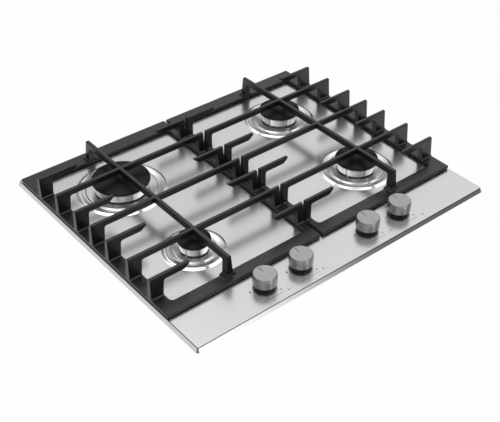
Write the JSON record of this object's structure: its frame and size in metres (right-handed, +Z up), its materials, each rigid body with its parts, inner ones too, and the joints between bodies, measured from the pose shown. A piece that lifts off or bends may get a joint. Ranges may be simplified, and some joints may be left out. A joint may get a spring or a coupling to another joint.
{
  "type": "gas cooktop",
  "caption": "Built-in 60 cm gas cooktop with bevelled steel plate, burners with lift-off crowns and caps, cast pan supports, push-and-turn knobs, and gas train in the box beneath",
  "frame": {"origin": "middle of the box's underside, which is the lowest face", "axes": "+X to the right and +Y to the back as the cook stands at the knobs, +Z up"},
  "size_m": [0.595, 0.51, 0.095],
  "materials": {
    "plate_steel": "brushed stainless steel",
    "cast_iron": "matt black cast iron",
    "cap_enamel": "satin black enamel",
    "crown_alloy": "machined die-cast aluminium",
    "knob_metal": "fine-grained metal",
    "collar_plastic": "matt black",
    "foot_rubber": "matt black",
    "seal_foam": "soft grey foam",
    "galvanised": "galvanised sheet steel",
    "zinc_screw": "zinc plated",
    "cast_alloy": "as-cast aluminium",
    "pipe_alloy": "drawn aluminium tube",
    "tap_alloy": "die-cast alloy",
    "brass": "turned brass",
    "stem_steel": "turned steel",
    "ceramic": "white glazed ceramic",
    "sensor_copper": "copper sleeve",
    "switch_plastic": "ivory",
    "white_plastic": "white"
  },
  "bodies": {
    "root": {"top_plate": "plate_steel", "worktop_seal": "seal_foam", "bottom_box": "galvanised", "box_screws": "zinc_screw", "clamp_brackets": "galvanised", "bracket_screws": "zinc_screw", "gas_manifold": "galvanised", "gas_inlet_elbow": "brass", "tap_rail": "galvanised", "tap_covers": "galvanised", "knob_collars": "collar_plastic", "injectors": "brass", "burner_screws": "zinc_screw", "spark_electrodes": "ceramic", "flame_sensors": "sensor_copper", "ignition_switches": "switch_plastic", "spark_generator": "white_plastic", "terminal_block": "switch_plastic", "cable_grommet": "foot_rubber", "gas_tap_1": "tap_alloy", "supply_pipe_1": "pipe_alloy", "gas_tap_2": "tap_alloy", "supply_pipe_2": "pipe_alloy", "gas_tap_3": "tap_alloy", "supply_pipe_3": "pipe_alloy", "gas_tap_4": "tap_alloy", "supply_pipe_4": "pipe_alloy", "burner_cup_rear_left": "cast_alloy", "burner_cup_front_left": "cast_alloy", "burner_cup_rear_right": "cast_alloy", "burner_cup_front_right": "cast_alloy"},
    "support_left": {"pan_support_left": "cast_iron", "support_feet_left": "foot_rubber"},
    "support_right": {"pan_support_right": "cast_iron", "support_feet_right": "foot_rubber"},
    "crown_rear_left": {"burner_crown_rear_left": "crown_alloy"},
    "cap_rear_left": {"burner_cap_rear_left": "cap_enamel"},
    "crown_front_left": {"burner_crown_front_left": "crown_alloy"},
    "cap_front_left": {"burner_cap_front_left": "cap_enamel"},
    "crown_rear_right": {"burner_crown_rear_right": "crown_alloy"},
    "cap_rear_right": {"burner_cap_rear_right": "cap_enamel"},
    "crown_front_right": {"burner_crown_front_right": "crown_alloy"},
    "cap_front_right": {"burner_cap_front_right": "cap_enamel"},
    "plug_unit_1": {"tap_plug_1": "brass"},
    "knob_unit_1": {"tap_stem_1": "stem_steel", "knob_1": "knob_metal"},
    "plug_unit_2": {"tap_plug_2": "brass"},
    "knob_unit_2": {"tap_stem_2": "stem_steel", "knob_2": "knob_metal"},
    "plug_unit_3": {"tap_plug_3": "brass"},
    "knob_unit_3": {"tap_stem_3": "stem_steel", "knob_3": "knob_metal"},
    "plug_unit_4": {"tap_plug_4": "brass"},
    "knob_unit_4": {"tap_stem_4": "stem_steel", "knob_4": "knob_metal"}
  },
  "joints": [
    {"name": "support_left_lift", "type": "slide", "parent": "root", "child": "support_left", "axis": [0, 0, 1], "range_m": [0, 0.12]},
    {"name": "support_right_lift", "type": "slide", "parent": "root", "child": "support_right", "axis": [0, 0, 1], "range_m": [0, 0.12]},
    {"name": "crown_rear_left_lift", "type": "slide", "parent": "root", "child": "crown_rear_left", "axis": [0, 0, 1], "range_m": [0, 0.004]},
    {"name": "cap_rear_left_lift", "type": "slide", "parent": "crown_rear_left", "child": "cap_rear_left", "axis": [0, 0, 1], "range_m": [0, 0.004]},
    {"name": "crown_front_left_lift", "type": "slide", "parent": "root", "child": "crown_front_left", "axis": [0, 0, 1], "range_m": [0, 0.004]},
    {"name": "cap_front_left_lift", "type": "slide", "parent": "crown_front_left", "child": "cap_front_left", "axis": [0, 0, 1], "range_m": [0, 0.004]},
    {"name": "crown_rear_right_lift", "type": "slide", "parent": "root", "child": "crown_rear_right", "axis": [0, 0, 1], "range_m": [0, 0.004]},
    {"name": "cap_rear_right_lift", "type": "slide", "parent": "crown_rear_right", "child": "cap_rear_right", "axis": [0, 0, 1], "range_m": [0, 0.004]},
    {"name": "crown_front_right_lift", "type": "slide", "parent": "root", "child": "crown_front_right", "axis": [0, 0, 1], "range_m": [0, 0.004]},
    {"name": "cap_front_right_lift", "type": "slide", "parent": "crown_front_right", "child": "cap_front_right", "axis": [0, 0, 1], "range_m": [0, 0.004]},
    {"name": "valve_1_turn", "type": "hinge", "parent": "root", "child": "plug_unit_1", "pos_m": [-0.1405, -0.21, 0.03], "axis": [0, 0, 1], "range_deg": [0, 210]},
    {"name": "knob_1_push", "type": "slide", "parent": "plug_unit_1", "child": "knob_unit_1", "axis": [0, 0, -1], "range_m": [0, 0.003], "stiffness_N_per_m": 800, "springref_m": -0.004},
    {"name": "valve_2_turn", "type": "hinge", "parent": "root", "child": "plug_unit_2", "pos_m": [-0.07, -0.21, 0.03], "axis": [0, 0, 1], "range_deg": [0, 210]},
    {"name": "knob_2_push", "type": "slide", "parent": "plug_unit_2", "child": "knob_unit_2", "axis": [0, 0, -1], "range_m": [0, 0.003], "stiffness_N_per_m": 800, "springref_m": -0.004},
    {"name": "valve_3_turn", "type": "hinge", "parent": "root", "child": "plug_unit_3", "pos_m": [0.07, -0.21, 0.03], "axis": [0, 0, 1], "range_deg": [0, 210]},
    {"name": "knob_3_push", "type": "slide", "parent": "plug_unit_3", "child": "knob_unit_3", "axis": [0, 0, -1], "range_m": [0, 0.003], "stiffness_N_per_m": 800, "springref_m": -0.004},
    {"name": "valve_4_turn", "type": "hinge", "parent": "root", "child": "plug_unit_4", "pos_m": [0.1405, -0.21, 0.03], "axis": [0, 0, 1], "range_deg": [0, 210]},
    {"name": "knob_4_push", "type": "slide", "parent": "plug_unit_4", "child": "knob_unit_4", "axis": [0, 0, -1], "range_m": [0, 0.003], "stiffness_N_per_m": 800, "springref_m": -0.004}
  ]
}
